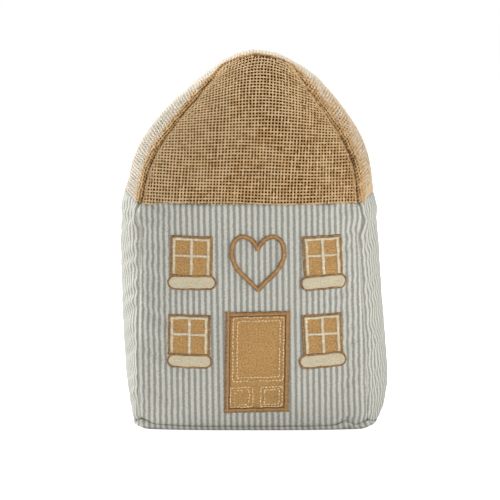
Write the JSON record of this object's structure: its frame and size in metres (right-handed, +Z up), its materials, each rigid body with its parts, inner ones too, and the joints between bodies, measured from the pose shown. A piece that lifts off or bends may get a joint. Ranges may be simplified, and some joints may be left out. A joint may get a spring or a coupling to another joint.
{
  "type": "weighted fabric door stop",
  "caption": "Free-standing sand-weighted cloth door stop sewn in the shape of a small house.",
  "frame": {"origin": "on the floor, under the middle of the object's outline", "axes": "+Z up, the front wall with its door and windows faces -Y, +X to the viewer's right"},
  "size_m": [0.1859, 0.1263, 0.2597],
  "materials": {
    "ticking": "cream cotton ticking with narrow grey-blue woven stripes",
    "hessian": "natural jute hessian in an open plain weave",
    "twill": "tan cotton cloth, matt",
    "stitch": "golden brown satin-stitched thread with a soft sheen",
    "cream": "cream satin-stitched thread",
    "calico": "unbleached calico, filled with dry sand",
    "fibre": "loose white polyester fibre"
  },
  "bodies": {
    "root": {"front_wall": "ticking", "back_wall": "ticking", "left_wall": "ticking", "right_wall": "ticking", "base_panel": "ticking", "front_roof": "hessian", "back_roof": "hessian", "roof_strip": "hessian", "fibre_filling": "fibre", "sand_bag": "calico", "upper_left_pane": "twill", "upper_left_pane_border": "stitch", "upper_left_frame": "cream", "upper_left_sill": "cream", "upper_left_sill_border": "stitch", "upper_right_pane": "twill", "upper_right_pane_border": "stitch", "upper_right_frame": "cream", "upper_right_sill": "cream", "upper_right_sill_border": "stitch", "lower_left_pane": "twill", "lower_left_pane_border": "stitch", "lower_left_frame": "cream", "lower_left_sill": "cream", "lower_left_sill_border": "stitch", "lower_right_pane": "twill", "lower_right_pane_border": "stitch", "lower_right_frame": "cream", "lower_right_sill": "cream", "lower_right_sill_border": "stitch", "door": "twill", "door_border": "stitch", "heart": "stitch"}
  },
  "joints": []
}
